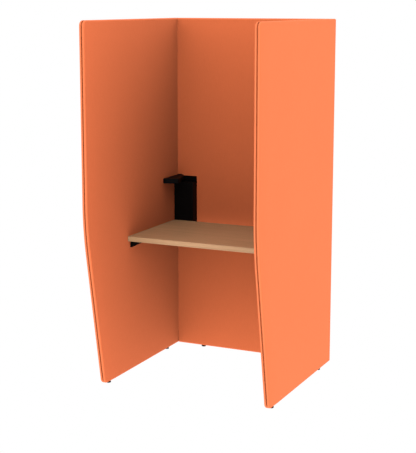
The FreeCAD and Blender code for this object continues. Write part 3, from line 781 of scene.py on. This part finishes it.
def off_middle(turn, wedge):
    """Angle from the middle of the wedge that a turn lies in."""
    return (turn + wedge / 2) % wedge - wedge / 2


def round_ring(radius, height, count=FASTENER_POINTS, flute=0.0):
    """Circle of points at a height, with shallow flutes of a depth cut into it."""
    return ring_of(lambda turn: radius - flute * max(0.0, math.cos(PAD_FLUTES * turn)), height, count)


def hex_ring(across_flats, height, count=FASTENER_POINTS):
    """Hexagon of points at a height."""
    return ring_of(lambda turn: across_flats / 2 / math.cos(off_middle(turn, math.pi / 3)), height, count)


def cross_ring(reach, half_width, height):
    """Outline of a cross-shaped recess at a height."""
    def radius_at(turn):
        off_arm = off_middle(turn, math.pi / 2)
        return min(reach / math.cos(off_arm), half_width / max(abs(math.sin(off_arm)), TINY))
    return ring_of(radius_at, height)


# Bolts and screws

def recess_rings(kind, head):
    """Rings of the drive recess in a head of a given diameter, from its floor up to the head's top."""
    if kind == "hex":
        return [hex_ring(head * HEX_WIDTH, head * HEX_DEPTH),
                hex_ring(head * HEX_WIDTH, 0.0),
                round_ring(head * HEX_RIM, 0.0)]
    return [cross_ring(head * CROSS_FLOOR_REACH, head * CROSS_FLOOR_HALF_WIDTH, head * CROSS_DEPTH),
            cross_ring(head * CROSS_REACH, head * CROSS_HALF_WIDTH, head * CROSS_LIP),
            round_ring(head * CROSS_RIM, 0.0)]


def head_rings(head, head_height):
    """Rings over the rounded top of a head of a given diameter and down to its seat."""
    rings = []
    for k in range(HEAD_STEPS + 1):
        turn = math.pi / 2 * k / HEAD_STEPS
        radius = head * (HEAD_FLAT + HEAD_ROUND * math.sin(turn))
        rings.append(round_ring(radius, head_height * HEAD_DOME * (1 - math.cos(turn))))
    rings.append(round_ring(head / 2, head_height))
    return rings


def thread_rings(radius, start, end):
    """Rings along a threaded shank from under the head to the tip."""
    rings = [round_ring(radius, start)]
    height = start
    while height + THREAD_PITCH < end:
        rings.append(round_ring(radius, height + THREAD_PITCH * THREAD_CREST))
        rings.append(round_ring(radius - THREAD_DEPTH, height + THREAD_PITCH * THREAD_ROOT))
        height += THREAD_PITCH
    rings.append(round_ring(radius, height))
    rings.append(round_ring(radius * THREAD_TIP, end))
    return rings


def fastener_rings(fastener, head, length):
    """Rings of a bolt or screw from the floor of its drive recess over the head to the tip."""
    return (recess_rings(fastener.recess, head) + head_rings(head, fastener.head_height)
            + thread_rings(fastener.shank / 2, fastener.head_height, length))


def add_fasteners(name, node_name, body, fastener, head_side):
    """Bolts or screws with drive recesses in place of a CAD node's plain ones; heads face the head side."""
    mesh = bmesh.new()
    for low, high in loose_boxes(node_name):
        middle = (low + high) / 2
        facing = head_side(middle)
        size = high - low
        length = abs(size.dot(facing))
        head = max(size[axis] for axis in range(3) if not facing[axis])
        top = middle + facing * (length / 2)
        turn = Vector((0, 0, -1)).rotation_difference(facing).to_matrix()
        rings = [[top + turn @ Vector(point) for point in ring]
                 for ring in fastener_rings(fastener, head, length)]
        close_ends(mesh, loft(mesh, rings))
    piece = finish_piece(name, mesh, body, "fastener_steel")
    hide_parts(node_name)


def towards_middle(point):
    """Level direction from a side panel to the middle of the booth."""
    return Vector((-1.0 if point.x > 0 else 1.0, 0.0, 0.0))


def downwards(point):
    """Direction straight down, the same for every point."""
    return Vector((0.0, 0.0, -1.0))


# Levelling feet

def add_turned(name, node_name, body, slot, rings):
    """Piece of level rings that stands where the CAD node that it replaces does."""
    low, high = (Vector(corner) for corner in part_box(node_name))
    middle = (low + high) / 2
    base = Vector((middle.x, middle.y, low.z))
    mesh = bmesh.new()
    close_ends(mesh, loft(mesh, [[base + Vector(point) for point in ring] for ring in rings]))
    piece = finish_piece(name, mesh, body, slot)
    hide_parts(node_name)


def round_size(node_name):
    """Radius and height of an upright round CAD node."""
    low, high = (Vector(corner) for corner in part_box(node_name))
    return (high.x - low.x) / 2, high.z - low.z


def stem_rings(radius, length):
    """Rings of a threaded foot stem from its lower to its upper end."""
    rings = [round_ring(radius - STEM_THREAD_DEPTH, 0.0)]
    for k in range(round(length / STEM_PITCH)):
        for rise, cut in STEM_TURN:
            rings.append(round_ring(radius - cut * STEM_THREAD_DEPTH, (k + rise) * STEM_PITCH))
    rings.append(round_ring(radius - 2 * STEM_THREAD_DEPTH, length))
    return rings


def pad_rings(radius, height, bore):
    """Rings of a moulded foot pad: hollow underside, fluted rim and a hexagon for the spanner."""
    rim = height - PAD_HEX_HEIGHT
    rings = [round_ring(radius * share, rise, PAD_POINTS) for share, rise in PAD_UNDERSIDE]
    rings += [round_ring(radius * share, rim * rise, PAD_POINTS, flute) for share, rise, flute in PAD_RIM]
    rings += [hex_ring(PAD_HEX_WIDTH, rise, PAD_POINTS) for rise in (rim, height)]
    rings.append(round_ring(bore, height, PAD_POINTS))
    return rings


def add_foot(name):
    """Threaded stem and moulded pad of a levelling foot."""
    foot = "foot_" + name
    stem_radius, stem_length = round_size(foot + "_stem")
    pad_radius, pad_height = round_size(foot + "_base")
    stem = stem_rings(stem_radius, stem_length)
    pad = pad_rings(pad_radius, pad_height, stem_radius)
    add_turned(foot + "_thread", foot + "_stem", foot, "fastener_steel", stem)
    add_turned(foot + "_pad", foot + "_base", foot, "black_plastic", pad)


# Studio

def add_stage(name, mesh, finish):
    """Stage object that only the camera sees, so that the light reaches the booth from all sides."""
    mesh.materials.append(finish)
    made = bpy.data.objects.new(name, mesh)
    made.visible_diffuse = False
    made.visible_glossy = False
    made.visible_transmission = False
    made.visible_shadow = False
    scene.collection.objects.link(made)


def floor_mesh():
    """Wide square floor, low enough for the feet to be screwed out."""
    half = FLOOR_SIZE / 2
    corners = [(-half, -half), (half, -half), (half, half), (-half, half)]
    made = bpy.data.meshes.new("studio_floor")
    made.from_pydata([(x, y, -FLOOR_DROP) for x, y in corners], [], [(0, 1, 2, 3)])
    return made


def backdrop_mesh():
    """Wide dome round the booth."""
    shell = bmesh.new()
    bmesh.ops.create_uvsphere(shell, u_segments=BACKDROP_SEGMENTS, v_segments=BACKDROP_RINGS,
                              radius=BACKDROP_RADIUS)
    made = bpy.data.meshes.new("studio_backdrop")
    shell.to_mesh(made)
    shell.free()
    return made


def add_studio():
    """Pale floor and backdrop of an even white."""
    finish, _, shader = material("studio_white")
    set_values(shader, Base_Color=BLACK_OPAQUE, Specular_IOR_Level=0.0,
               Emission_Color=WHITE_OPAQUE, Emission_Strength=BACKDROP_STRENGTH)
    add_stage("studio_floor", floor_mesh(), finish)
    add_stage("studio_backdrop", backdrop_mesh(), finish)


def add_sky():
    """Even white light from all sides, without light that bounces from wall to wall."""
    world = bpy.data.worlds.new("studio_sky")
    world.use_nodes = True
    set_values(world.node_tree.nodes["Background"], Color=WHITE_OPAQUE, Strength=SKY_STRENGTH)
    scene.world = world
    scene.view_settings.view_transform = "Standard"
    scene.cycles.diffuse_bounces = DIFFUSE_BOUNCES


def add_camera():
    """Camera at the photograph's viewing angle."""
    data = bpy.data.cameras.new("camera")
    data.sensor_width = SENSOR_WIDTH
    data.lens = FOCAL_PIXELS * SENSOR_WIDTH / PICTURE_LONG_SIDE
    data.shift_y = -CENTRE_RISE_PIXELS / PICTURE_LONG_SIDE
    camera = bpy.data.objects.new("camera", data)
    camera.location = CAMERA_PLACE
    camera.rotation_euler = (math.pi / 2 - CAMERA_PITCH, 0.0, CAMERA_YAW)
    scene.collection.objects.link(camera)
    scene.camera = camera


finishes = all_finishes()
finish_cad_nodes()
add_skins()
add_fasteners("bracket_bolt_set", "bracket_bolts", "booth", BRACKET_BOLT, towards_middle)
add_fasteners("desk_screw_set", "desk_screws", "booth", DESK_SCREW, downwards)
add_fasteners("lamp_screw_set", "lamp_screws", "lamp_head", LAMP_SCREW, downwards)
for foot_name in FEET:
    add_foot(foot_name)
add_studio()
add_sky()
add_camera()
